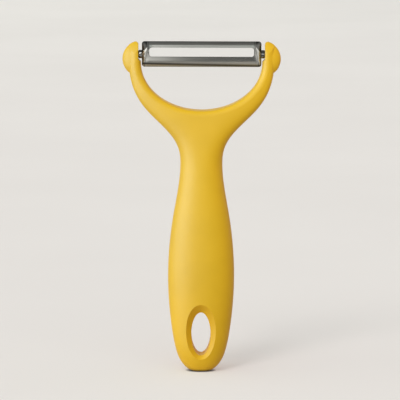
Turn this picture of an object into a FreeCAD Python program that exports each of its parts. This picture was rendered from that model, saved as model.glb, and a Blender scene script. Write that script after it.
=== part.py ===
import FreeCAD, Part
import math
import os
import Sketcher

# A vegetable peeler with a swivelling blade across the fork of its handle.
# The peeler stands on its foot: Z runs up the handle, X along the blade, and -Y is the front.

Vector = FreeCAD.Vector

# Every driving size in mm, as (name, value, what it measures).
SIZES = [
    ("foot_width", 8.4, "flat the peeler stands on"),
    ("foot_depth", 6.8, "the same, front to back"),
    ("sole_rise", 1.0, "foot to where the end of the grip rounds under"),
    ("sole_width", 12.4, ""),
    ("sole_depth", 9.4, ""),
    ("heel_rise", 3.0, "sole to the grip section just above it"),
    ("heel_width", 18.3, ""),
    ("heel_depth", 12.4, ""),
    ("base_rise", 7.0, "heel to the grip section below the hang hole"),
    ("base_width", 24.2, ""),
    ("base_depth", 15.8, ""),
    ("eye_rise", 7.4, "base to the grip section at the middle of the hang hole"),
    ("eye_width", 27.2, ""),
    ("eye_depth", 17.2, ""),
    ("bulge_rise", 27.6, "eye to the thickest grip section"),
    ("bulge_width", 31.6, ""),
    ("bulge_depth", 20.0, ""),
    ("taper_rise", 29.0, "bulge to the grip section on the way to the neck"),
    ("taper_width", 26.6, ""),
    ("taper_depth", 17.6, ""),
    ("neck_rise", 24.0, "taper to the narrowest section"),
    ("neck_width", 20.0, ""),
    ("neck_depth", 15.0, ""),
    ("throat_rise", 10.0, "neck to where the fork starts to flare"),
    ("throat_width", 23.6, ""),
    ("throat_depth", 14.4, ""),
    ("flare_rise", 8.0, "throat to the steepest part of the flare"),
    ("flare_width", 35.8, ""),
    ("flare_depth", 14.0, ""),
    ("web_rise", 8.0, "flare to the bottom of the fork opening"),
    ("web_outset", -2.8, "outside of the web beyond the opening's side"),
    ("web_depth", 13.6, ""),
    ("root_rise", 8.5, "web to where the arms leave it"),
    ("root_outset", 2.8, "outside of the arms beyond the opening's side, at their roots"),
    ("root_depth", 12.8, ""),
    ("arm_rise", 11.5, "root to the upper arm"),
    ("arm_outset", 5.6, "thickness of the upper arm"),
    ("arm_depth", 12.0, ""),
    ("tip_outset", 5.6, "thickness of the arm at its tip"),
    ("grip_squareness", 2.2, "exponent of the grip sections, 2 is an ellipse"),
    ("fork_squareness", 3.6, "exponent of the fork sections"),
    ("opening_width", 57.4, "between the arms"),
    ("opening_rise", 22.6, "height of the curved part of the opening"),
    ("opening_round", 2.4, "rounding of the opening's edges"),
    ("round_land", 0.4, "least half thickness of the arm left beside that rounding"),
    ("pivot_rise", 4.0, "pivot axis above the curved part of the opening"),
    ("boss_radius", 8.45, "dome on the outside of each arm tip"),
    ("boss_depth", 7.6, "the same, front to back"),
    ("boss_inset", 0.3, "centre of the dome outside the opening"),
    ("boss_drop", 2.2, "centre of the dome below the pivot axis"),
    ("tip_margin", 0.1, "arm tips rounded off this far outside the dome"),
    ("tip_land", 0.15, "radius kept as a narrow land round the tips"),
    ("tip_corner", 1.4, "rounding of the tips towards the blade"),
    ("relief_depth", 1.25, "cut into the inside of each arm tip beside the pin"),
    ("relief_drop", 2.3, "lower end of that cut below the pivot axis"),
    ("relief_slope", 1.7, "height of the slope at its lower end"),
    ("hole_width", 9.2, "hang hole"),
    ("hole_length", 20.8, ""),
    ("flare_start", 5.2, "where the hole starts to widen, from the middle of the grip"),
    ("blade_end_gap", 0.5, "between each blade end and the opening's side"),
    ("blade_width", 12.1, "blade from its upper to its lower rim"),
    ("blade_lift", 0.2, "centre of the blade above the pivot axis"),
    ("blade_front", 4.6, "raised middle of the blade ahead of the pivot axis"),
    ("blade_corner", 1.3, "corner radius of the blade"),
    ("press_depth", 2.4, "how far the middle is pressed out of the rim"),
    ("sheet_thickness", 0.8, "steel sheet"),
    ("slot_end_bar", 3.5, "steel left at each end of the slot"),
    ("slot_width", 4.2, ""),
    ("slot_rise", 1.0, "centre of the slot above the centre of the blade"),
    ("slot_corner", 1.2, "corner radius of the slot"),
    ("slot_land", 0.2, "flat rim left round the slot"),
    ("bevel_width", 1.3, "ground face of the cutting lip"),
    ("lip_thickness", 0.12, "steel left at the cutting edge"),
    ("tab_radius", 3.2, "end of the tabs round the pivot axis"),
    ("rivet_diameter", 2.4, "pin end that fills the hole in the tab"),
    ("rivet_head_diameter", 3.6, ""),
    ("rivet_head_height", 0.8, ""),
    ("rivet_head_round", 0.6, "rounding of the rivet head"),
    ("collar_diameter", 4.0, "pin between tab and arm"),
    ("collar_round", 0.2, "rounding of the collar's edge beside the arm"),
    ("collar_play", 0.2, "between collar and arm"),
    ("journal_diameter", 3.2, "pin end that turns in the arm"),
    ("journal_length", 4.8, ""),
    ("journal_chamfer", 0.3, ""),
    ("journal_end_gap", 0.4, "between the pin's end and the bottom of its bore"),
    ("running_clearance", 0.05, "journal to bore, on the radius"),
]

# Sections from the foot up. Each has its rise above the one before; the fork's follow the opening's width.
GRIP_SECTIONS = ["sole", "heel", "base", "eye", "bulge", "taper", "neck", "throat", "flare"]
FORK_SECTIONS = ["web", "root", "arm"]
SECTIONS = GRIP_SECTIONS + FORK_SECTIONS
SECTION_POINTS = 48
SECTION_SPACING = 6.0
SEAM_STEP = 12

# How far a cut runs past what it cuts, and how near to a place an edge lies to be taken as there.
OVERRUN = 5.0
NEAR = 0.01

doc = FreeCAD.newDocument("vegetable_peeler")
sizes = doc.addObject("Spreadsheet::Sheet", "sizes")
for row, (name, number, note) in enumerate(SIZES, start=1):
    sizes.set(f"A{row}", name)
    sizes.set(f"B{row}", str(number))
    sizes.set(f"C{row}", note)
    sizes.setAlias(f"B{row}", name)
doc.recompute()


def size(name):
    return float(sizes.get(name))


def value(expression):
    return sizes.evalExpression(expression)


def height_of(section):
    """Expression for the height of a section: every rise from the foot up to it."""
    below = SECTIONS[:SECTIONS.index(section) + 1]
    return "(" + " + ".join(f"sizes.{name}_rise" for name in below) + ")"


HALF_OPENING = "(sizes.opening_width / 2)"
OPENING_CENTRE = f"({height_of('web')} + sizes.opening_rise)"
PIVOT_HEIGHT = f"({OPENING_CENTRE} + sizes.pivot_rise)"
BOSS_CENTRE_X = f"({HALF_OPENING} + sizes.boss_inset)"
BOSS_CENTRE_Z = f"({PIVOT_HEIGHT} - sizes.boss_drop)"
TIP_RADIUS = "(sizes.boss_radius + sizes.tip_margin)"
SKIN_TOP = f"({BOSS_CENTRE_Z} + {TIP_RADIUS} + {OVERRUN})"
ARM_FACE = f"({HALF_OPENING} + sizes.relief_depth)"
RELIEF_END = f"({PIVOT_HEIGHT} - sizes.relief_drop)"
BLADE_END = f"({HALF_OPENING} - sizes.blade_end_gap)"
BLADE_CENTRE = f"({PIVOT_HEIGHT} + sizes.blade_lift)"
SLOT_CENTRE = f"({BLADE_CENTRE} + sizes.slot_rise)"
RIM_FRONT = "(sizes.blade_front - sizes.press_depth)"


def drive(feature, expressions):
    for target, expression in expressions.items():
        feature.setExpression(target, expression)


def new_body(name):
    body = doc.addObject("PartDesign::Body", name)
    body.Label = name
    return body


def plane(body, role):
    return next(item for item in body.Origin.OriginFeatures if item.Role == role)


def new_sketch(body, name, role, offset=None):
    sketch = body.newObject("Sketcher::SketchObject", name)
    sketch.AttachmentSupport = [(plane(body, role), "")]
    sketch.MapMode = "FlatFace"
    if offset:
        sketch.setExpression("AttachmentOffset.Base.z", offset)
    return sketch


def constrain(sketch, expression, kind, *elements):
    number = sketch.addConstraint(Sketcher.Constraint(kind, *elements, value(expression)))
    sketch.setExpression(f"Constraints[{number}]", expression)


def outline(sketch, corners):
    """Draw a closed outline of straight lines with every corner held by the sheet."""
    points = [Vector(value(x), value(y), 0) for x, y in corners]
    count = len(corners)
    for index in range(count):
        sketch.addGeometry(Part.LineSegment(points[index], points[(index + 1) % count]))
    for index, (x, y) in enumerate(corners):
        sketch.addConstraint(Sketcher.Constraint("Coincident", index, 2, (index + 1) % count, 1))
        constrain(sketch, x, "DistanceX", -1, 1, index, 1)
        constrain(sketch, y, "DistanceY", -1, 1, index, 1)


def oval(sketch, width, height, centre):
    """Draw an ellipse on the sketch's vertical axis."""
    half_width = Vector(value(width) / 2, 0, 0)
    half_height = Vector(0, value(height) / 2, 0)
    middle = Vector(0, value(centre), 0)
    wide = half_width.Length > half_height.Length
    major, minor = (half_width, half_height) if wide else (half_height, half_width)
    ellipse = sketch.addGeometry(Part.Ellipse(middle + major, middle + minor, middle))
    sketch.exposeInternalGeometry(ellipse)
    major_line = ellipse + 1
    minor_line = ellipse + 2
    sketch.addConstraint(Sketcher.Constraint("PointOnObject", ellipse, 3, -2))
    sketch.addConstraint(Sketcher.Constraint("Horizontal" if wide else "Vertical", major_line))
    constrain(sketch, centre, "DistanceY", -1, 1, ellipse, 3)
    constrain(sketch, width, "Distance", major_line if wide else minor_line)
    constrain(sketch, height, "Distance", minor_line if wide else major_line)


def rounded_rectangle(sketch, length, width, centre, radius):
    """Draw a rectangle with round corners, centred on the sketch's vertical axis."""
    half_x = value(length) / 2
    half_y = value(width) / 2
    middle = value(centre)
    round_off = value(radius)
    inner_x = half_x - round_off
    inner_y = half_y - round_off
    sides = [
        (Vector(-inner_x, middle - half_y, 0), Vector(inner_x, middle - half_y, 0)),
        (Vector(half_x, middle - inner_y, 0), Vector(half_x, middle + inner_y, 0)),
        (Vector(inner_x, middle + half_y, 0), Vector(-inner_x, middle + half_y, 0)),
        (Vector(-half_x, middle + inner_y, 0), Vector(-half_x, middle - inner_y, 0)),
    ]
    corners = [(inner_x, -inner_y), (inner_x, inner_y), (-inner_x, inner_y), (-inner_x, -inner_y)]
    for start, end in sides:
        sketch.addGeometry(Part.LineSegment(start, end))
    for quarter, (x, y) in enumerate(corners):
        circle = Part.Circle(Vector(x, middle + y, 0), Vector(0, 0, 1), round_off)
        start_angle = (quarter - 1) * math.pi / 2
        sketch.addGeometry(Part.ArcOfCircle(circle, start_angle, start_angle + math.pi / 2))
    for quarter in range(4):
        arc = 4 + quarter
        following = (quarter + 1) % 4
        sketch.addConstraint(Sketcher.Constraint("Tangent", quarter, 2, arc, 1))
        sketch.addConstraint(Sketcher.Constraint("Tangent", arc, 2, following, 1))
        constrain(sketch, radius, "Radius", arc)
    for horizontal, vertical in ((0, 1), (2, 3)):
        sketch.addConstraint(Sketcher.Constraint("Horizontal", horizontal))
        sketch.addConstraint(Sketcher.Constraint("Vertical", vertical))
    constrain(sketch, f"{length} / 2", "DistanceX", -1, 1, 1, 1)
    constrain(sketch, f"-{length} / 2", "DistanceX", -1, 1, 3, 1)
    constrain(sketch, f"{centre} - {width} / 2", "DistanceY", -1, 1, 0, 1)
    constrain(sketch, f"{centre} + {width} / 2", "DistanceY", -1, 1, 2, 1)


def join(sketch, *pairs):
    for first, first_end, second, second_end in pairs:
        sketch.addConstraint(Sketcher.Constraint("Coincident", first, first_end, second, second_end))


def square_up(sketch, horizontal, vertical):
    for line in horizontal:
        sketch.addConstraint(Sketcher.Constraint("Horizontal", line))
    for line in vertical:
        sketch.addConstraint(Sketcher.Constraint("Vertical", line))


def ring(sketch, radius, height):
    """Draw a circle on the sketch's vertical axis."""
    middle = Vector(0, value(height), 0)
    circle = Part.Circle(middle, Vector(0, 0, 1), value(radius))
    number = sketch.addGeometry(circle)
    sketch.addConstraint(Sketcher.Constraint("PointOnObject", number, 3, -2))
    constrain(sketch, height, "DistanceY", -1, 1, number, 3)
    constrain(sketch, radius, "Radius", number)


def cut_through(body, name, sketch):
    """Pocket a sketch through the whole body, both ways from its plane."""
    pocket = body.newObject("PartDesign::Pocket", name)
    pocket.Profile = sketch
    pocket.SideType = "Symmetric"
    pocket.Type = "ThroughAll"
    doc.recompute()
    return pocket


def cut_length(body, name, sketch, length):
    """Pocket a sketch along its plane's normal by a length from the sheet."""
    pocket = body.newObject("PartDesign::Pocket", name)
    pocket.Profile = sketch
    pocket.Reversed = True
    drive(pocket, {"Length": length})
    doc.recompute()
    return pocket


def round_edges(body, name, radius, wanted):
    """Fillet every edge of the body so far whose start, middle and end pass the test."""
    base = body.Tip
    edges = []
    for number, edge in enumerate(base.Shape.Edges, start=1):
        first, last = edge.ParameterRange
        if wanted([edge.valueAt(place) for place in (first, (first + last) / 2, last)]):
            edges.append(f"Edge{number}")
    fillet = body.newObject("PartDesign::Fillet", name)
    fillet.Base = (base, edges)
    drive(fillet, {"Radius": radius})
    doc.recompute()


def mirror_across_middle(body, name, feature, role="YZ_Plane"):
    mirrored = body.newObject("PartDesign::Mirrored", name)
    mirrored.Originals = [feature]
    mirrored.MirrorPlane = (plane(body, role), [""])
    body.Tip = mirrored
    doc.recompute()


# Handle skin: superellipse sections lofted from the foot to the top of the arms.

def superellipse(height, width, depth, squareness):
    """A section of the skin, whose seam runs up the middle of the back."""
    points = []
    for step in range(SECTION_POINTS):
        angle = 2 * math.pi * (step + SEAM_STEP) / SECTION_POINTS
        across = math.cos(angle)
        along = math.sin(angle)
        reach = (abs(across) ** squareness + abs(along) ** squareness) ** (-1 / squareness)
        points.append(Vector(across * reach * width / 2, along * reach * depth / 2, height))
    curve = Part.BSplineCurve()
    curve.interpolate(Points=points, PeriodicFlag=True, Parameters=list(range(SECTION_POINTS + 1)))
    return Part.Wire(curve.toShape())


def squareness_at(height):
    """Blend from the grip's sections at the neck to the fork's at the arm roots."""
    neck = value(height_of("neck"))
    share = (height - neck) / (value(height_of("root")) - neck)
    share = min(max(share, 0), 1)
    return size("grip_squareness") + share * (size("fork_squareness") - size("grip_squareness"))


def through(heights, extents):
    """A smooth curve of a width or depth over the height."""
    curve = Part.BSplineCurve()
    points = [Vector(height, extent, 0) for height, extent in zip(heights, extents)]
    curve.interpolate(Points=points, Parameters=heights)
    return lambda height: curve.value(height).y


def handle_skin():
    heights = [0]
    widths = [size("foot_width")]
    depths = [size("foot_depth")]
    for name in SECTIONS:
        heights.append(value(height_of(name)))
        depths.append(size(f"{name}_depth"))
    widths += [size(f"{name}_width") for name in GRIP_SECTIONS]
    widths += [size("opening_width") + 2 * size(f"{name}_outset") for name in FORK_SECTIONS + ["tip"]]
    heights.append(value(SKIN_TOP))
    depths.append(size("arm_depth"))
    width_at = through(heights, widths)
    depth_at = through(heights, depths)
    wires = [superellipse(0, widths[0], depths[0], squareness_at(0))]
    for low, high in zip(heights, heights[1:]):
        steps = max(1, round((high - low) / SECTION_SPACING))
        for step in range(1, steps + 1):
            height = low + (high - low) * step / steps
            wires.append(superellipse(height, width_at(height), depth_at(height), squareness_at(height)))
    return Part.makeLoft(wires, True)


skin = doc.addObject("Part::Feature", "handle_skin")
skin.Shape = handle_skin()
skin.Placement = FreeCAD.Placement()

handle = new_body("handle")
handle.BaseFeature = skin
doc.recompute()


def tip_ellipsoids(body, name, radius, half_depth):
    """Add an ellipsoid at each arm tip, round from the front, with its seam facing inwards."""
    right = body.newObject("PartDesign::AdditiveEllipsoid", name)
    right.AttachmentSupport = [(plane(body, "XY_Plane"), "")]
    right.MapMode = "FlatFace"
    right.AttachmentOffset = FreeCAD.Placement(Vector(), FreeCAD.Rotation(Vector(0, 0, 1), 180))
    drive(right, {
        "AttachmentOffset.Base.x": BOSS_CENTRE_X,
        "AttachmentOffset.Base.z": BOSS_CENTRE_Z,
        "Radius1": radius,
        "Radius2": radius,
        "Radius3": half_depth,
    })
    doc.recompute()
    mirror_across_middle(body, f"{name}s", right)


# A dome on the outside of each arm tip gives the pivot bores their depth.
tip_ellipsoids(handle, "boss", "sizes.boss_radius", "sizes.boss_depth / 2")

# The fork opening: an elliptical bottom with straight sides above it.
bottom_sketch = new_sketch(handle, "opening_bottom_sketch", "XZ_Plane")
oval(bottom_sketch, "sizes.opening_width", "2 * sizes.opening_rise", OPENING_CENTRE)
cut_through(handle, "opening_bottom", bottom_sketch)
sides_sketch = new_sketch(handle, "opening_sides_sketch", "XZ_Plane")
outline(sides_sketch, [
    (f"-{HALF_OPENING}", OPENING_CENTRE),
    (HALF_OPENING, OPENING_CENTRE),
    (HALF_OPENING, f"{SKIN_TOP} + {OVERRUN}"),
    (f"-{HALF_OPENING}", f"{SKIN_TOP} + {OVERRUN}"),
])
cut_through(handle, "opening_sides", sides_sketch)


def off_opening(point):
    half = value(HALF_OPENING)
    above = (point.z - value(OPENING_CENTRE)) / size("opening_rise")
    return half * (math.hypot(point.x / half, min(above, 0)) - 1)


def beside_opening(points):
    return all(abs(off_opening(point)) < NEAR for point in points) and abs(points[1].y) > NEAR


THIN_ARM = "min(sizes.arm_outset; sizes.tip_outset) / 2 - sizes.round_land"
OPENING_ROUND = f"min(sizes.opening_round; {THIN_ARM})"
round_edges(handle, "opening_edges", OPENING_ROUND, beside_opening)

# Above the domes' middle, the arms keep only what lies in an oval as deep as themselves.
CREST_SHARE = f"(({HALF_OPENING} + sizes.tip_outset / 4) / ({HALF_OPENING} + sizes.tip_outset))"
CREST_DEPTH = f"(1 - {CREST_SHARE} ^ sizes.fork_squareness) ^ (1 / sizes.fork_squareness)"
ROUND_RADIUS = f"({TIP_RADIUS} + sizes.tip_land)"
HALF_WIDTH = f"({BOSS_CENTRE_X} + {ROUND_RADIUS} + {OVERRUN})"
HALF_DEPTH = f"(sizes.bulge_depth / 2 + {OVERRUN})"
envelope = new_body("tip_envelope")
below = envelope.newObject("PartDesign::AdditiveBox", "below_tips")
below.AttachmentSupport = [(plane(envelope, "XY_Plane"), "")]
below.MapMode = "FlatFace"
drive(below, {
    "AttachmentOffset.Base.x": f"-{HALF_WIDTH}",
    "AttachmentOffset.Base.y": f"-{HALF_DEPTH}",
    "AttachmentOffset.Base.z": f"-{OVERRUN}",
    "Length": f"2 * {HALF_WIDTH}",
    "Width": f"2 * {HALF_DEPTH}",
    "Height": f"{BOSS_CENTRE_Z} + {OVERRUN}",
})
tip_ellipsoids(envelope, "tip_oval", ROUND_RADIUS, f"(sizes.arm_depth / 2 * {CREST_DEPTH})")
rounded = handle.newObject("PartDesign::Boolean", "rounded_tips")
rounded.Type = "Common"
rounded.setObjects([envelope])
doc.recompute()


def tip_waste(sketch):
    """Draw what is cut off the right arm: beside the pin, over the small corner and over the dome."""
    corner_radius = size("tip_corner")
    tip_radius = value(TIP_RADIUS)
    dome_centre = Vector(value(BOSS_CENTRE_X), value(BOSS_CENTRE_Z), 0)
    face = value(ARM_FACE)
    off_x = face + corner_radius - dome_centre.x
    off_y = math.sqrt((tip_radius - corner_radius) ** 2 - off_x ** 2)
    corner_centre = dome_centre + Vector(off_x, off_y, 0)
    lean = math.atan2(off_y, off_x)
    corner_circle = Part.Circle(corner_centre, Vector(0, 0, 1), corner_radius)
    tip_circle = Part.Circle(dome_centre, Vector(0, 0, 1), tip_radius)
    inside = value(BLADE_END)
    outside = dome_centre.x + tip_radius + OVERRUN
    above = dome_centre.y + tip_radius + OVERRUN
    relief_end = value(RELIEF_END)
    points = [
        tip_circle.value(0),
        Vector(outside, dome_centre.y, 0),
        Vector(outside, above, 0),
        Vector(inside, above, 0),
        Vector(inside, relief_end - size("relief_slope"), 0),
        Vector(face, relief_end, 0),
        corner_circle.value(math.pi),
    ]
    corner = sketch.addGeometry(Part.ArcOfCircle(corner_circle, lean, math.pi))
    tip = sketch.addGeometry(Part.ArcOfCircle(tip_circle, 0, lean))
    right, rise, top, fall, slope, wall = [
        sketch.addGeometry(Part.LineSegment(*ends)) for ends in zip(points, points[1:])
    ]
    sketch.addConstraint(Sketcher.Constraint("Tangent", corner, 1, tip, 2))
    sketch.addConstraint(Sketcher.Constraint("Tangent", wall, 2, corner, 2))
    join(sketch, (tip, 1, right, 1), (right, 2, rise, 1), (rise, 2, top, 1), (top, 2, fall, 1))
    join(sketch, (fall, 2, slope, 1), (slope, 2, wall, 1))
    square_up(sketch, [right, top], [rise, fall, wall])
    sketch.addConstraint(Sketcher.Constraint("Horizontal", tip, 1, tip, 3))
    constrain(sketch, "sizes.tip_corner", "Radius", corner)
    constrain(sketch, TIP_RADIUS, "Radius", tip)
    constrain(sketch, BOSS_CENTRE_X, "DistanceX", -1, 1, tip, 3)
    constrain(sketch, BOSS_CENTRE_Z, "DistanceY", -1, 1, tip, 3)
    constrain(sketch, f"{TIP_RADIUS} + {OVERRUN}", "DistanceX", tip, 3, rise, 1)
    constrain(sketch, f"{TIP_RADIUS} + {OVERRUN}", "DistanceY", tip, 3, top, 1)
    constrain(sketch, BLADE_END, "DistanceX", -1, 1, fall, 1)
    constrain(sketch, f"{RELIEF_END} - sizes.relief_slope", "DistanceY", -1, 1, slope, 1)
    constrain(sketch, ARM_FACE, "DistanceX", -1, 1, wall, 1)
    constrain(sketch, RELIEF_END, "DistanceY", -1, 1, wall, 1)


# Seen from the front, each tip is cut back beside the pin and rounded along the dome.
tip_sketch = new_sketch(handle, "tip_sketch", "XZ_Plane")
tip_waste(tip_sketch)
tip = cut_through(handle, "tip", tip_sketch)
mirror_across_middle(handle, "tips", tip)

# Blind bores for the journals of the pins.
bore_sketch = new_sketch(handle, "bore_sketch", "YZ_Plane", ARM_FACE)
ring(bore_sketch, "sizes.journal_diameter / 2 + sizes.running_clearance", PIVOT_HEIGHT)
BORE_DEPTH = "sizes.journal_length - sizes.collar_play + sizes.journal_end_gap"
bore = cut_length(handle, "bore", bore_sketch, BORE_DEPTH)
mirror_across_middle(handle, "bores", bore)

# The hang hole widens towards the front and the back, so that it slides easily over a hook.
FLARE_REACH = f"(sizes.bulge_depth / 2 - sizes.flare_start + {OVERRUN})"


def hole_section(name, front, widened):
    """Draw the hang hole's oval, widened all round, at a place in front of the middle plane."""
    section = new_sketch(handle, name, "XZ_Plane", front)
    width = f"(sizes.hole_width + 2 * {widened})"
    length = f"(sizes.hole_length + 2 * {widened})"
    oval(section, width, length, height_of("eye"))
    return section


cut_through(handle, "hang_hole", hole_section("hole_sketch", "0", "0"))
flare = handle.newObject("PartDesign::SubtractiveLoft", "hole_flare")
flare.Profile = hole_section("flare_start_sketch", "sizes.flare_start", "0")
flare.Sections = [hole_section("flare_end_sketch", f"sizes.flare_start + {FLARE_REACH}", FLARE_REACH)]
doc.recompute()
mirror_across_middle(handle, "hole_flares", flare, "XZ_Plane")

# Blade: a sheet pressed out towards the front, so that all four sides curve back from the slot.
blade = new_body("blade")
SLOT_LENGTH = f"(2 * ({BLADE_END} - sizes.slot_end_bar))"
SLOT_TOP = f"({SLOT_CENTRE} + sizes.slot_width / 2)"


def between(raised, rim, share):
    """Expression for a size that goes from the raised middle, share 0, to the rim, share 1."""
    return f"({raised} + {share} * ({rim} - {raised}))"


def press_section(name, share, back):
    """Draw one section of the pressing: the further from the slot, the steeper it falls back."""
    front = f"sizes.blade_front - {share ** 2} * sizes.press_depth - {back}"
    section = new_sketch(blade, name, "XZ_Plane", front)
    rounded_rectangle(
        section,
        between(f"({SLOT_LENGTH} + 2 * sizes.slot_land)", f"(2 * {BLADE_END})", share),
        between("(sizes.slot_width + 2 * sizes.slot_land)", "sizes.blade_width", share),
        between(SLOT_CENTRE, BLADE_CENTRE, share),
        between("(sizes.slot_corner + sizes.slot_land)", "sizes.blade_corner", share),
    )
    return section


def pressing(name, kind, back):
    """Loft from the rim to the raised middle of the blade, set back by a depth."""
    rim, slope, raised = [press_section(f"{name}_{step}", step / 2, back) for step in (2, 1, 0)]
    doc.recompute()
    loft = blade.newObject(kind, name)
    loft.Profile = rim
    loft.Sections = [slope, raised]
    doc.recompute()


pressing("front_face", "PartDesign::AdditiveLoft", "0")
pressing("back_face", "PartDesign::SubtractiveLoft", "sizes.sheet_thickness")
slot_sketch = new_sketch(blade, "slot_sketch", "XZ_Plane")
rounded_rectangle(slot_sketch, SLOT_LENGTH, "sizes.slot_width", SLOT_CENTRE, "sizes.slot_corner")
cut_through(blade, "slot", slot_sketch)

# The cutting lip is ground on its front, from the curve of the sheet down to a thin edge.
UPPER_RISE = f"({BLADE_CENTRE} + sizes.blade_width / 2 - {SLOT_TOP} - sizes.slot_land)"
GRIND_SHARE = f"((sizes.bevel_width - sizes.slot_land) / {UPPER_RISE})"
GRIND_START = f"(sizes.press_depth * {GRIND_SHARE} ^ 2 - sizes.blade_front)"
GRIND_END = "(sizes.sheet_thickness - sizes.lip_thickness - sizes.blade_front)"
bevel_sketch = new_sketch(blade, "bevel_sketch", "YZ_Plane")
outline(bevel_sketch, [
    (GRIND_START, f"{SLOT_TOP} + sizes.bevel_width"),
    (GRIND_END, SLOT_TOP),
    (GRIND_END, SLOT_CENTRE),
    (f"-sizes.blade_front - {OVERRUN}", SLOT_CENTRE),
    (f"-sizes.blade_front - {OVERRUN}", f"{SLOT_TOP} + sizes.bevel_width"),
])
bevel = blade.newObject("PartDesign::Pocket", "bevel")
bevel.Profile = bevel_sketch
bevel.SideType = "Symmetric"
drive(bevel, {"Length": f"{SLOT_LENGTH} - 2 * sizes.slot_corner"})
doc.recompute()

# A tab runs back from each end and ends round the pivot axis.
tab_sketch = new_sketch(blade, "tab_sketch", "YZ_Plane", f"{BLADE_END} - sizes.sheet_thickness")
rim_back = -value(RIM_FRONT)
axis = Vector(0, value(PIVOT_HEIGHT), 0)
up = Vector(0, size("tab_radius"), 0)
back = Vector(rim_back, 0, 0)
tab_sketch.addGeometry(Part.LineSegment(axis + up + back, axis + up))
tab_circle = Part.Circle(axis, Vector(0, 0, 1), up.Length)
tab_sketch.addGeometry(Part.ArcOfCircle(tab_circle, -math.pi / 2, math.pi / 2))
tab_sketch.addGeometry(Part.LineSegment(axis - up, axis - up + back))
tab_sketch.addGeometry(Part.LineSegment(axis - up + back, axis + up + back))
tab_sketch.addConstraint(Sketcher.Constraint("Tangent", 0, 2, 1, 2))
tab_sketch.addConstraint(Sketcher.Constraint("Tangent", 1, 1, 2, 1))
tab_sketch.addConstraint(Sketcher.Constraint("Coincident", 2, 2, 3, 1))
tab_sketch.addConstraint(Sketcher.Constraint("Coincident", 3, 2, 0, 1))
tab_sketch.addConstraint(Sketcher.Constraint("Horizontal", 0))
tab_sketch.addConstraint(Sketcher.Constraint("Horizontal", 2))
tab_sketch.addConstraint(Sketcher.Constraint("Vertical", 3))
tab_sketch.addConstraint(Sketcher.Constraint("PointOnObject", 1, 3, -2))
constrain(tab_sketch, "sizes.tab_radius", "Radius", 1)
constrain(tab_sketch, PIVOT_HEIGHT, "DistanceY", -1, 1, 1, 3)
constrain(tab_sketch, f"-{RIM_FRONT}", "DistanceX", -1, 1, 3, 1)
tab = blade.newObject("PartDesign::Pad", "tab")
tab.Profile = tab_sketch
drive(tab, {"Length": "sizes.sheet_thickness"})
doc.recompute()
mirror_across_middle(blade, "tabs", tab)
rivet_hole_sketch = new_sketch(blade, "rivet_hole_sketch", "YZ_Plane")
ring(rivet_hole_sketch, "sizes.rivet_diameter / 2", PIVOT_HEIGHT)
cut_through(blade, "rivet_holes", rivet_hole_sketch)

# Pivot pins: rivet head and shank in the tab, collar in the gap, journal in the arm.
TAB_INSIDE = f"({BLADE_END} - sizes.sheet_thickness)"
HEAD_TOP = f"({TAB_INSIDE} - sizes.rivet_head_height)"
COLLAR_END = f"({ARM_FACE} - sizes.collar_play)"
JOURNAL_END = f"({COLLAR_END} + sizes.journal_length)"
COLLAR_STEP = "(sizes.collar_diameter - sizes.journal_diameter) / 2"

# The largest part of its wall that the rounding of a pin's rim takes.
WALL_SHARE = 0.9


def round_rim(pin, name, along, part, wall):
    """Round the outer rim of one part of the pin, at a place along its axis, by less than its wall."""
    place = value(along)
    radius = size(f"{part}_diameter") / 2

    def off_rim(point):
        from_axis = math.hypot(point.y, point.z - value(PIVOT_HEIGHT))
        return math.hypot(point.x - place, from_axis - radius)

    def on_rim(points):
        return all(off_rim(point) < NEAR for point in points)

    round_edges(pin, name, f"min(sizes.{part}_round; {WALL_SHARE} * {wall})", on_rim)


def pivot_pin(name, turn):
    pin = new_body(name)
    profile = new_sketch(pin, f"{name}_profile", "XZ_Plane")
    drive(profile, {"AttachmentOffset.Base.y": PIVOT_HEIGHT})
    outline(profile, [
        (HEAD_TOP, "0"),
        (HEAD_TOP, "sizes.rivet_head_diameter / 2"),
        (TAB_INSIDE, "sizes.rivet_head_diameter / 2"),
        (TAB_INSIDE, "sizes.rivet_diameter / 2"),
        (BLADE_END, "sizes.rivet_diameter / 2"),
        (BLADE_END, "sizes.collar_diameter / 2"),
        (COLLAR_END, "sizes.collar_diameter / 2"),
        (COLLAR_END, "sizes.journal_diameter / 2"),
        (f"{JOURNAL_END} - sizes.journal_chamfer", "sizes.journal_diameter / 2"),
        (JOURNAL_END, "sizes.journal_diameter / 2 - sizes.journal_chamfer"),
        (JOURNAL_END, "0"),
    ])
    doc.recompute()
    turned = pin.newObject("PartDesign::Revolution", f"{name}_turned")
    turned.Profile = profile
    turned.ReferenceAxis = (profile, ["H_Axis"])
    doc.recompute()
    round_rim(pin, f"{name}_head", HEAD_TOP, "rivet_head", "sizes.rivet_head_height")
    round_rim(pin, f"{name}_collar", COLLAR_END, "collar", COLLAR_STEP)
    pin.Placement = FreeCAD.Placement(Vector(0, 0, 0), FreeCAD.Rotation(Vector(0, 0, 1), turn))
    return pin


right_pin = pivot_pin("right_pivot_pin", 0)
left_pin = pivot_pin("left_pivot_pin", 180)

# Check every feature, then write one file for each piece.
bodies = [handle, blade, left_pin, right_pin]
doc.recompute()
for item in doc.Objects:
    if "Invalid" in item.State or "Error" in item.State:
        raise RuntimeError(f"{item.Name} failed: {item.getStatusString()}")
os.makedirs("parts", exist_ok=True)
for body in bodies:
    if body.Shape.isNull() or not body.Shape.isValid() or len(body.Shape.Solids) != 1:
        raise RuntimeError(f"{body.Label} is not one valid solid")
    body.Shape.exportStep(f"parts/{body.Label}.step")
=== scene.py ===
import math

import bpy
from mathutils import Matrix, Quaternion, Vector

# A yellow vegetable peeler standing on a pale studio floor. Lengths are in metres.

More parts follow.
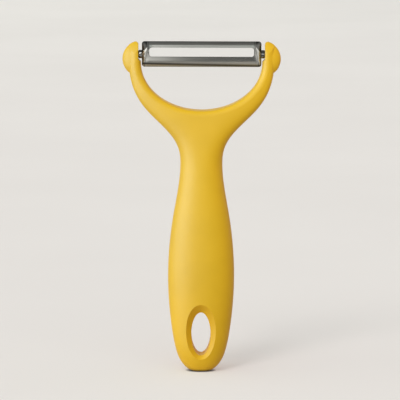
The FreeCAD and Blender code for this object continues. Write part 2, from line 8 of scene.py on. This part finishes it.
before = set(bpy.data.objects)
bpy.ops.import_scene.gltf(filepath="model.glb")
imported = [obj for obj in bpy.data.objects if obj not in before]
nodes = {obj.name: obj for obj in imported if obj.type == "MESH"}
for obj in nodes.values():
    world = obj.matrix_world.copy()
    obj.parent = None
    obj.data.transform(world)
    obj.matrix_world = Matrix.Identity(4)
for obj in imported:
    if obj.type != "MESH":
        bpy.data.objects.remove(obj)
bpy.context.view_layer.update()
MM = 0.001


# Node trees

NOISE_MIDDLE = (0.3, 0.7)


class Graph:
    """A node tree under construction: nodes are added by type, and their inputs set or wired."""

    def __init__(self, tree):
        self.tree = tree

    def wire(self, node, key, given):
        if isinstance(given, bpy.types.NodeSocket):
            self.tree.links.new(given, node.inputs[key])
        else:
            node.inputs[key].default_value = given

    def add(self, kind, inputs, **settings):
        node = self.tree.nodes.new(kind)
        for key, setting in settings.items():
            setattr(node, key, setting)
        for key, given in inputs.items():
            self.wire(node, key, given)
        return node

    def maths(self, operation, first, second=0.0):
        return self.add("ShaderNodeMath", {0: first, 1: second}, operation=operation).outputs[0]

    def times(self, *factors):
        product = factors[0]
        for factor in factors[1:]:
            product = self.maths("MULTIPLY", product, factor)
        return product

    def gap(self, first, second):
        """How far two numbers are apart."""
        return self.maths("ABSOLUTE", self.maths("SUBTRACT", first, second))

    def colours(self, operation, first, second):
        """Add or multiply channel by channel, where a single number counts for all channels."""
        return self.add("ShaderNodeVectorMath", {0: first, 1: second}, operation=operation).outputs[0]

    def mix(self, factor, first, second):
        """Blend two colours, which a Mix node has as its inputs 6 and 7 and its output 2."""
        return self.add("ShaderNodeMix", {0: factor, 6: first, 7: second}, data_type="RGBA").outputs[2]

    def remap(self, curve, number, start, end, low, high):
        inputs = {0: number, 1: start, 2: end, 3: low, 4: high}
        return self.add("ShaderNodeMapRange", inputs, interpolation_type=curve).outputs[0]

    def ramp(self, number, start, end, low=0.0, high=1.0):
        """Go smoothly from low to high as a number goes from start to end."""
        return self.remap("SMOOTHSTEP", number, start, end, low, high)

    def line(self, number, start, end, low=0.0, high=1.0):
        """Go straight from low to high as a number goes from start to end."""
        return self.remap("LINEAR", number, start, end, low, high)

    def below(self, number, full, none):
        """1 while a number is under full, and 0 once it is over none."""
        return self.ramp(number, none, full)

    def band(self, number, rise, fall):
        """0 to 1 over a first range of a number, and back to 0 over a second."""
        return self.times(self.ramp(number, *rise), self.below(number, *fall))

    def where(self, mask, factor):
        """A factor where a mask is 1, and 1 where the mask is 0."""
        return self.ramp(mask, 0.0, 1.0, 1.0, factor)


class Surface(Graph):
    """A procedural material, laid out in the frame of the piece that carries it."""

    def __init__(self, name):
        self.material = bpy.data.materials.new(name)
        self.material.use_nodes = True
        super().__init__(self.material.node_tree)
        self.shader = self.tree.nodes["Principled BSDF"]
        self.place = self.add("ShaderNodeTexCoord", {}).outputs["Object"]

    def set(self, **inputs):
        for key, given in inputs.items():
            self.wire(self.shader, key.replace("_", " "), given)

    def along(self, axis):
        return self.add("ShaderNodeSeparateXYZ", {0: self.place}).outputs[axis]

    def noise(self, scale, stretch=(1, 1, 1), detail=3.0):
        place = self.add("ShaderNodeMapping", {"Vector": self.place, "Scale": stretch}).outputs[0]
        inputs = {"Vector": place, "Scale": scale, "Detail": detail}
        return self.add("ShaderNodeTexNoise", inputs).outputs["Fac"]

    def spread(self, noise, low, high):
        """Stretch the middle of a noise over a range."""
        return self.ramp(noise, *NOISE_MIDDLE, low, high)

    def mottle(self, noise, first, second):
        """Blend two colours by a noise."""
        return self.mix(self.spread(noise, 0, 1), first, second)

    def tones(self, number, stops, tint):
        """One tint over a number from 0 to 1, through stops of place and brightness."""
        node = self.add("ShaderNodeValToRGB", {0: number})
        elements = node.color_ramp.elements
        for place, _ in stops[1:-1]:
            elements.new(place)
        for element, (place, brightness) in zip(elements, stops):
            element.position = place
            element.color = [brightness * channel for channel in tint] + [1]
        return node.outputs["Color"]

    def bump(self, height, distance):
        return self.add("ShaderNodeBump", {"Height": height, "Distance": distance}).outputs[0]


# Handle: satin yellow plastic, with painted shade at the foot where it meets the floor

YELLOW_DEEP = (0.75, 0.41, 0.005, 1)
YELLOW_PALE = (0.79, 0.435, 0.007, 1)
YELLOW_CLOUDS = 60
PLASTIC_GRAIN = 1800
PLASTIC_DETAIL = 2
PLASTIC_BUMP = 0.02 * MM
PLASTIC_ROUGHNESS = (0.5, 0.58)
PLASTIC_SPECULAR = 0.3
PLASTIC_SHEEN = 0.1
PLASTIC_SHEEN_ROUGHNESS = 0.4
# Painted contact shade: the plastic darkens below these heights, towards the foot's lowest edge.
FOOT_SHADE_HEIGHTS = (0.3 * MM, 1.3 * MM)
FOOT_SHADE = 0.3


def handle_plastic():
    surface = Surface("handle_plastic")
    clouds = surface.noise(YELLOW_CLOUDS, detail=PLASTIC_DETAIL)
    grain = surface.noise(PLASTIC_GRAIN, detail=PLASTIC_DETAIL)
    yellow = surface.mottle(clouds, YELLOW_DEEP, YELLOW_PALE)
    # Painted contact shade, darker towards the bottom of the foot.
    foot_shade = surface.ramp(surface.along("Z"), *FOOT_SHADE_HEIGHTS, FOOT_SHADE, 1.0)
    surface.set(
        Base_Color=surface.colours("MULTIPLY", yellow, foot_shade),
        Roughness=surface.spread(grain, *PLASTIC_ROUGHNESS),
        Specular_IOR_Level=PLASTIC_SPECULAR,
        Sheen_Weight=PLASTIC_SHEEN,
        Sheen_Roughness=PLASTIC_SHEEN_ROUGHNESS,
        Normal=surface.bump(grain, PLASTIC_BUMP),
    )
    return surface.material


# Blade: brushed steel with a ground lip and bent ends, painted reflection bands, painted shade and painted
# highlights

# A share is a height on the blade, 0 at its lower rim and 1 at its upper. An inset is taken from its end.
# The tones are shares and brightnesses: lower rim, crease, face, ground lip and upper face.
# Apart from the ground lip's own tone, the brightnesses are painted reflection bands, and the crease's is
# painted shade.
BLADE_TONES = [
    (0.0, 0.45), (0.03, 0.45), (0.06, 0.06), (0.12, 0.06), (0.18, 0.38), (0.28, 0.5),
    (0.36, 0.46), (0.7, 0.48), (0.76, 0.56), (0.86, 0.56), (0.88, 0.46), (1.0, 0.42),
]
STEEL_TINT = (1.0, 0.98, 0.9)
BRUSH_SCALE = 900
BRUSH_STRETCH = (0.02, 1, 1)
BRUSH_SHADE = (0.85, 1.1)
BRUSH_BUMP = 0.01 * MM
BLADE_ROUGHNESS = (0.24, 0.34)

# The painted shade along the crease runs down to the right, by shares per metre, and is paler from the
# middle on.
# The tilt fades out above it.
CREASE_TILT = -1.8
TILT_SHARES = (0.3, 0.1)
CREASE_RISE = (0.03, 0.06)
CREASE_FALL = (0.12, 0.18)
CREASE_PALER = 1.7

# Each end has a painted dark upper corner over a painted highlight along an edge, both slanted by shares
# per metre.
CORNER_INSET = (2.4 * MM, 2.8 * MM)
CORNER_SLOPE = 102
CORNER_SLANT = (0.5, 0.54)
CORNER_SHADE = 0.25
EDGE_SLANT = 0.49
EDGE_HALF_WIDTH = (0.03, 0.08)
HIGHLIGHT_GAIN_LEFT = 2.2
HIGHLIGHT_GAIN_RIGHT = 1.2

# Each end has a painted dark fold line too, painted shade which leans inwards from the lower rim to the
# upper.
FOLD_INSETS = (1.1 * MM, 3.3 * MM)
FOLD_HALF_WIDTH = (0.1 * MM, 0.3 * MM)
FOLD_SHADE = 0.5

# The lip and the rim are less metallic than the faces, and the cut rim and tips are rougher and carry
# painted shade.
LIP_RISE = (0.75, 0.77)
LIP_FALL = (0.85, 0.87)
LIP_INSET = (3.4 * MM, 3.8 * MM)
LIP_COLOUR = (0.53, 0.5, 0.46, 1)
RIM_SHARE = (0.04, 0.07)
TIP_INSET = (0.4 * MM, 0.9 * MM)
TIP_SHADE = 0.8
CUT_SHADE = 0.7
CUT_ROUGHER = 0.3
DULL_METALLIC = 0.4


def blade_steel(blade):
    surface = Surface("blade_steel")
    heights = [corner[2] for corner in blade.bound_box]
    end = max(corner[0] for corner in blade.bound_box)
    across = surface.along("X")
    share = surface.line(surface.along("Z"), min(heights), max(heights))
    inset = surface.maths("SUBTRACT", end, surface.maths("ABSOLUTE", across))
    brush = surface.noise(BRUSH_SCALE, stretch=BRUSH_STRETCH)

    tilt = surface.times(across, CREASE_TILT, surface.line(share, *TILT_SHARES))
    tilted = surface.maths("SUBTRACT", share, tilt)
    # Painted shade: a dark line along the crease, lifted towards the right.
    crease_shade = surface.band(tilted, CREASE_RISE, CREASE_FALL)
    paler = surface.ramp(across, -end, 0.0, 1.0, CREASE_PALER)

    near_end = surface.below(inset, *CORNER_INSET)
    slant = surface.maths("SUBTRACT", share, surface.times(inset, CORNER_SLOPE))
    # Painted shade in each end's upper corner, and a painted highlight along the slanted edge below it.
    dark_corner = surface.times(near_end, surface.ramp(slant, *CORNER_SLANT))
    edge_highlight = surface.times(near_end, surface.below(surface.gap(slant, EDGE_SLANT), *EDGE_HALF_WIDTH))
    highlight_gain = surface.ramp(across, -end, end, HIGHLIGHT_GAIN_LEFT, HIGHLIGHT_GAIN_RIGHT)
    fold_inset = surface.line(share, 0.0, 1.0, *FOLD_INSETS)
    # Painted shade along each end's fold line.
    fold_shade = surface.below(surface.gap(inset, fold_inset), *FOLD_HALF_WIDTH)

    lip = surface.times(surface.band(share, LIP_RISE, LIP_FALL), surface.ramp(inset, *LIP_INSET))
    rim = surface.below(share, *RIM_SHARE)
    tip = surface.below(inset, *TIP_INSET)
    # The rim and tips are rougher cut steel, and are also darkened by painted shade.
    cut_edges_and_shade = surface.maths("MAXIMUM", rim, tip)
    dull = surface.maths("MAXIMUM", lip, rim)

    # Painted shade and highlights, over the brushed grain's own tone.
    shade = surface.times(
        surface.spread(brush, *BRUSH_SHADE),
        surface.where(dark_corner, CORNER_SHADE),
        surface.where(cut_edges_and_shade, CUT_SHADE),
        surface.where(tip, TIP_SHADE),
        surface.where(edge_highlight, highlight_gain),
        surface.where(fold_shade, FOLD_SHADE),
        surface.where(crease_shade, paler),
    )
    tone = surface.mix(lip, surface.tones(tilted, BLADE_TONES, STEEL_TINT), LIP_COLOUR)
    rougher = surface.times(cut_edges_and_shade, CUT_ROUGHER)
    surface.set(
        Base_Color=surface.colours("MULTIPLY", tone, shade),
        Metallic=surface.where(dull, DULL_METALLIC),
        Roughness=surface.maths("ADD", surface.spread(brush, *BLADE_ROUGHNESS), rougher),
        Normal=surface.bump(brush, BRUSH_BUMP),
    )
    return surface.material


# Pins: turned steel, with rings round them

PIN_DARK = (0.16, 0.16, 0.155, 1)
PIN_LIGHT = (0.26, 0.26, 0.25, 1)
RING_SCALE = 3000
RING_STRETCH = (1, 0.01, 0.01)
RING_BUMP = 0.01 * MM
PIN_ROUGHNESS = (0.2, 0.28)


def pin_steel():
    surface = Surface("pin_steel")
    rings = surface.noise(RING_SCALE, stretch=RING_STRETCH)
    surface.set(
        Base_Color=surface.mottle(rings, PIN_DARK, PIN_LIGHT),
        Metallic=1.0,
        Roughness=surface.spread(rings, *PIN_ROUGHNESS),
        Normal=surface.bump(rings, RING_BUMP),
    )
    return surface.material


def dress(node, material):
    piece = nodes[node]
    piece.data.materials.clear()
    piece.data.materials.append(material)


dress("handle", handle_plastic())
dress("blade", blade_steel(nodes["blade"]))
pin_material = pin_steel()
for pin in ("left_pivot_pin", "right_pivot_pin"):
    dress(pin, pin_material)


# Floor that sweeps up into a backdrop

FLOOR_FRONT = -0.115
FLOOR_BACK = 4.0
SWEEP_RADIUS = 0.6
WALL_TOP = 2.4
HALF_WIDTH = 6.0
SWEEP_STEPS = 24

PAPER_DARK = (0.595, 0.54, 0.515, 1)
PAPER_LIGHT = (0.615, 0.56, 0.535, 1)
PAPER_CLOUDS = 3
PAPER_ROUGHNESS = 0.9
PAPER_SPECULAR = 0.1
PAPER_GLOW = 0.25
PAPER_GLOW_COLOUR = (1.0, 0.98, 0.95, 1)
CONTACT_DISTANCE = 1.6 * MM
CONTACT_SAMPLES = 8
# Painted light and shade in what the floor throws back: bright on the left, dark on the right.
BOUNCE_LEFT = (0.98, 0.9, 0.82, 1)
BOUNCE_RIGHT = (0.25, 0.18, 0.16, 1)
BOUNCE_EDGES = (-0.06, 0.06)


def studio_paper():
    """Pale where the camera or a mirror sees it, with painted contact shade close to the object. The light
    that it throws back fades from left to right as painted shade.
    """
    surface = Surface("studio_paper")
    pale = surface.mottle(surface.noise(PAPER_CLOUDS), PAPER_DARK, PAPER_LIGHT)
    # Painted contact shade: the floor's colour and glow darken close to the object.
    contact_shade = surface.add(
        "ShaderNodeAmbientOcclusion", {"Color": pale, "Distance": CONTACT_DISTANCE}, samples=CONTACT_SAMPLES
    )
    # Painted shade: the bounce darkens from left to right.
    bounce = surface.mix(surface.ramp(surface.along("X"), *BOUNCE_EDGES), BOUNCE_LEFT, BOUNCE_RIGHT)
    path = surface.add("ShaderNodeLightPath", {}).outputs
    seen = surface.maths("MAXIMUM", path["Is Camera Ray"], path["Is Glossy Ray"])
    seen = surface.maths("MAXIMUM", seen, path["Is Transmission Ray"])
    surface.set(
        Base_Color=surface.mix(seen, bounce, contact_shade.outputs["Color"]),
        Roughness=PAPER_ROUGHNESS,
        Specular_IOR_Level=PAPER_SPECULAR,
        Emission_Color=PAPER_GLOW_COLOUR,
        Emission_Strength=surface.times(contact_shade.outputs["AO"], PAPER_GLOW, seen),
    )
    return surface.material


def sweep():
    line = [(FLOOR_FRONT, 0.0)]
    for step in range(SWEEP_STEPS + 1):
        angle = math.pi / 2 * step / SWEEP_STEPS
        rise = SWEEP_RADIUS * (1 - math.cos(angle))
        line.append((FLOOR_BACK + SWEEP_RADIUS * math.sin(angle), rise))
    line.append((FLOOR_BACK + SWEEP_RADIUS, WALL_TOP))
    points = [(side * HALF_WIDTH, y, z) for y, z in line for side in (-1, 1)]
    faces = [(2 * i, 2 * i + 1, 2 * i + 3, 2 * i + 2) for i in range(len(line) - 1)]
    mesh = bpy.data.meshes.new("studio_floor")
    mesh.from_pydata(points, [], faces)
    mesh.shade_smooth()
    mesh.materials.append(studio_paper())
    floor = bpy.data.objects.new("studio_floor", mesh)
    bpy.context.scene.collection.objects.link(floor)


sweep()


# Lamps

HANDLE_MIDDLE = (0, 0, 0.09)
BLADE_MIDDLE = (0, 0, 0.15)
FOOT = (0, 0, 0)
RIGHT_ARM = (0.032, 0, 0.142)
FOOT_LEFT = (-0.006, -0.004, 0.008)
BESIDE_LEFT_ARM = (-0.057, 0, 0.14)


def towards(azimuth, elevation):
    """Unit vector to a place round the object: azimuth 0 is the front and 90 the right, in degrees."""
    across = math.radians(azimuth)
    above = math.radians(elevation)
    return Vector((
        math.sin(across) * math.cos(above),
        -math.cos(across) * math.cos(above),
        math.sin(above),
    ))


def aim(thing, target):
    thing.rotation_mode = "QUATERNION"
    thing.rotation_quaternion = (Vector(target) - thing.location).to_track_quat("-Z", "Y")


def add_lamp(name, kind, place, target, **settings):
    light = bpy.data.lights.new(name, kind)
    for key, setting in settings.items():
        setattr(light, key, setting)
    lamp = bpy.data.objects.new(name, light)
    bpy.context.scene.collection.objects.link(lamp)
    lamp.location = place
    aim(lamp, target)
    return lamp


def add_card(name, place, target, width, height, **settings):
    """A rectangular lamp that the camera doesn't see."""
    settings = {"shape": "RECTANGLE", "size": width, "size_y": height, **settings}
    card = add_lamp(name, "AREA", place, target, **settings)
    card.visible_camera = False
    return card


def keep_to(lamp, *names):
    """Let a lamp light the named pieces alone."""
    receivers = bpy.data.collections.new(lamp.name + "_receivers")
    for name in names:
        receivers.objects.link(nodes[name])
    lamp.light_linking.receiver_collection = receivers


key = add_lamp(
    "key_light", "SUN", place=towards(-27, 38), target=FOOT,
    energy=1.0, angle=math.radians(21),
)
key.visible_glossy = False

sheen = add_card(
    "sheen_light", place=towards(-56, 10), target=HANDLE_MIDDLE,
    width=1.1, height=1.1, energy=38.0, color=(0.78, 0.97, 1.0),
)
glint = add_card(
    "glint_light", place=towards(-12, 44), target=BLADE_MIDDLE,
    width=0.4, height=0.4, energy=2.4,
)
fork_fill = add_card(
    "fork_fill", place=(0.055, -0.1, 0.165), target=RIGHT_ARM,
    width=0.06, height=0.06, energy=0.0055, spread=math.radians(90),
)
foot_fill = add_card(
    "foot_fill", place=(-0.07, -0.045, 0.012), target=FOOT_LEFT,
    width=0.03, height=0.03, energy=0.0009, spread=math.radians(60),
)
reflector = add_card(
    "reflector", place=(-0.057, -0.065, 0.12), target=BESIDE_LEFT_ARM,
    width=0.08, height=0.05, energy=0.0113,
)

keep_to(sheen, "handle")
keep_to(glint, "left_pivot_pin")
keep_to(fork_fill, "handle", "right_pivot_pin")
keep_to(foot_fill, "handle")
for card in (sheen, glint, reflector):
    card.visible_diffuse = False
for card in (sheen, glint):
    card.data.cycles.use_multiple_importance_sampling = False


# World

SKY_FACING = (-0.4, 1.0)
SKY_DIM = (0.3, 0.1, 0.08, 1)
SKY_BRIGHT = (0.88, 1.15, 1.15, 1)
MIRRORED_ROOM = 0.19
SEEN_ROOM = (0.78, 0.76, 0.72, 1)


class Room(Graph):
    """The world round the object: what lights it, what it mirrors and what the camera sees."""

    def __init__(self):
        self.world = bpy.data.worlds.new("studio")
        self.world.use_nodes = True
        super().__init__(self.world.node_tree)
        self.direction = self.add("ShaderNodeTexCoord", {}).outputs["Generated"]

    def facing(self, direction):
        """Cosine of the angle from a direction."""
        inputs = {0: self.direction, 1: direction}
        return self.add("ShaderNodeVectorMath", inputs, operation="DOT_PRODUCT").outputs["Value"]

    def window(self, direction, inner, outer, strength):
        """A round soft light, full inside one angle from its direction and gone outside another."""
        limits = [math.cos(math.radians(angle)) for angle in (outer, inner)]
        return self.ramp(self.facing(direction), *limits, 0.0, strength)

    def fill(self, lit, mirrored, seen):
        path = self.add("ShaderNodeLightPath", {}).outputs
        colour = self.mix(path["Is Glossy Ray"], lit, mirrored)
        background = self.tree.nodes["Background"]
        self.wire(background, "Color", self.mix(path["Is Camera Ray"], colour, seen))
        self.wire(background, "Strength", 1.0)
        bpy.context.scene.world = self.world


room = Room()
sky = room.mix(room.ramp(room.facing(towards(-42, 25)), *SKY_FACING), SKY_DIM, SKY_BRIGHT)
rim_light = room.window(towards(128, 10), inner=20, outer=70, strength=0.5)
left_wall = room.window(towards(-85, 5), inner=20, outer=60, strength=0.8)
right_wall = room.window(towards(80, 5), inner=30, outer=75, strength=0.9)
walls = room.maths("ADD", left_wall, right_wall)
room.fill(
    lit=room.colours("ADD", sky, rim_light),
    mirrored=room.maths("ADD", walls, MIRRORED_ROOM),
    seen=SEEN_ROOM,
)


# Camera

VIEW_CENTRE = Vector((-0.0006, 0, 0.08215))
VIEW_WIDTH = 0.1903
ELEVATION = 7
ROLL = math.radians(0.15)
LENS = 250
SENSOR_WIDTH = 36

camera_data = bpy.data.cameras.new("camera")
camera_data.lens = LENS
camera_data.sensor_width = SENSOR_WIDTH
camera = bpy.data.objects.new("camera", camera_data)
bpy.context.scene.collection.objects.link(camera)
distance = VIEW_WIDTH * LENS / SENSOR_WIDTH
camera.location = VIEW_CENTRE + distance * towards(0, ELEVATION)
aim(camera, VIEW_CENTRE)
camera.rotation_quaternion @= Quaternion((0, 0, 1), ROLL)
bpy.context.scene.camera = camera
bpy.context.scene.view_settings.view_transform = "Standard"
